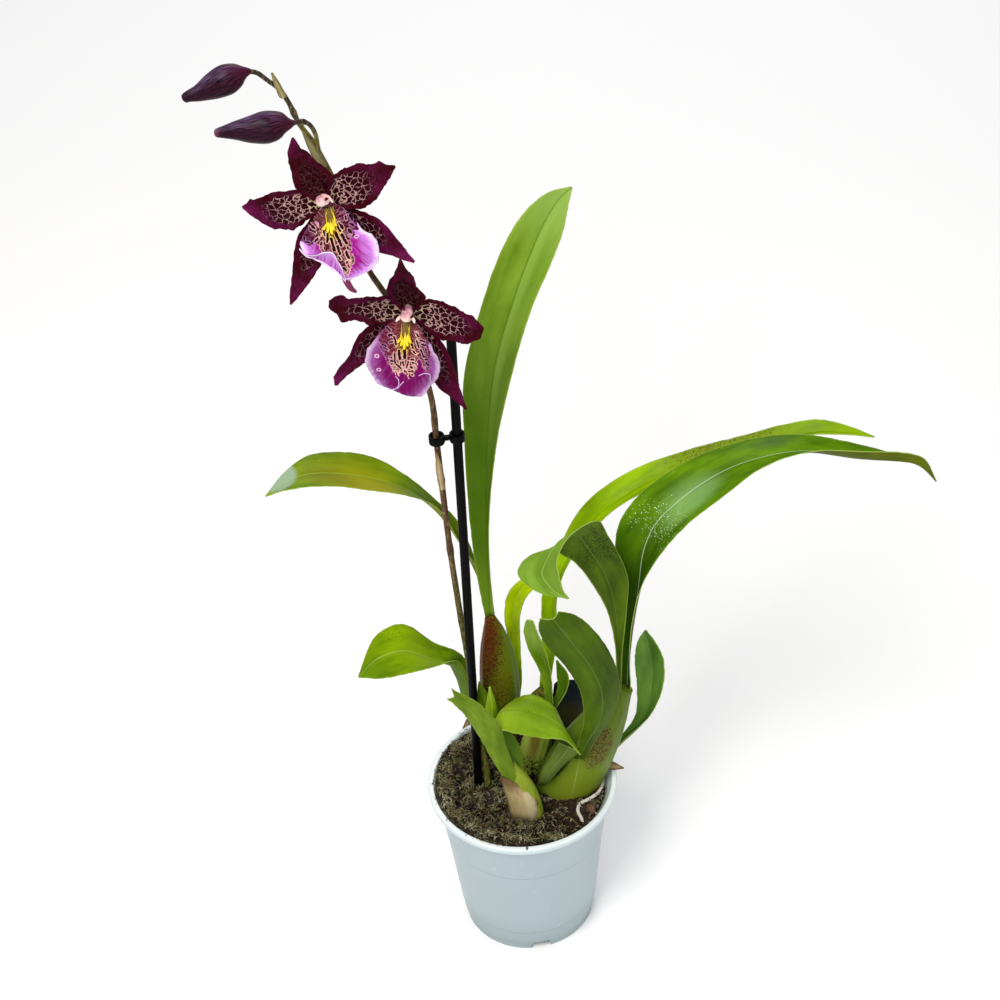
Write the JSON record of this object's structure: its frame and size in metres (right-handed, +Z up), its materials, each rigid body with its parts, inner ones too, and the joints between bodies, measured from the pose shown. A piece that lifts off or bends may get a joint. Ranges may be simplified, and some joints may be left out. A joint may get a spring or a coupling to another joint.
{
  "type": "potted orchid",
  "caption": "Potted hybrid orchid: arching spike of maroon blooms and buds clipped to a black stake, strap leaves on pseudobulbs, pale tapered plastic pot.",
  "frame": {"origin": "middle of the pot's foot, on the surface it stands on", "axes": "+Z up, -Y towards the side that the blooms face, +X to the right as seen from there"},
  "size_m": [0.3834, 0.1222, 0.6419],
  "materials": {
    "pot_plastic": "pale grey-blue injection moulded, satin",
    "bark_mix": "moist bark and moss fibres, matt",
    "black_plastic": "black, satin",
    "root_skin": "white root skin, matt",
    "bark": "dry bark, matt",
    "pseudobulb_skin": "green with red-brown speckles, satin",
    "dry_husk": "dry papery husk, matt",
    "dark_leaf": "dark olive underside, satin",
    "green_leaf": "yellow-green with a pale midrib, satin",
    "maroon_petal": "deep maroon with cream netting, soft",
    "lip_petal": "magenta fading to lilac white at the edge, soft",
    "column_petal": "pink cream, soft",
    "yellow_callus": "yellow with brown stripes, soft",
    "stem_skin": "brown-olive, speckled, satin"
  },
  "bodies": {
    "root": {"pot": "pot_plastic", "potting_mix": "bark_mix", "stake": "black_plastic", "stem_clip": "black_plastic", "plant_tag": "black_plastic", "aerial_root": "root_skin", "pseudobulb_left": "pseudobulb_skin", "pseudobulb_right": "pseudobulb_skin", "pseudobulb_back": "pseudobulb_skin", "pseudobulb_middle": "pseudobulb_skin", "front_growth": "pseudobulb_skin", "husk_front": "dry_husk", "husk_back": "dry_husk", "dry_tip": "dry_husk", "bark_chip": "bark", "leaf_tall": "green_leaf", "leaf_left_upper": "green_leaf", "leaf_left_lower": "green_leaf", "leaf_right_wide": "green_leaf", "leaf_right_curled": "dark_leaf", "leaf_long": "green_leaf", "leaf_right_small": "dark_leaf", "leaf_front_broad": "dark_leaf", "leaf_narrow": "green_leaf", "leaf_edge": "green_leaf", "leaf_back_yellow": "green_leaf", "leaf_front_left": "green_leaf", "leaf_inner": "green_leaf", "leaf_hood": "green_leaf", "sheath_front": "dark_leaf", "sheath_left": "green_leaf", "upper_bloom_tepals": "maroon_petal", "upper_bloom_lip": "lip_petal", "upper_bloom_column": "column_petal", "upper_bloom_callus": "yellow_callus", "lower_bloom_tepals": "maroon_petal", "lower_bloom_lip": "lip_petal", "lower_bloom_column": "column_petal", "lower_bloom_callus": "yellow_callus", "flower_spike": "stem_skin", "bud_top": "maroon_petal", "bud_lower": "maroon_petal", "bract_at_clip": "dry_husk", "bract_at_bud_stalk": "dry_husk", "bract_at_top_bud": "dry_husk"}
  },
  "joints": []
}
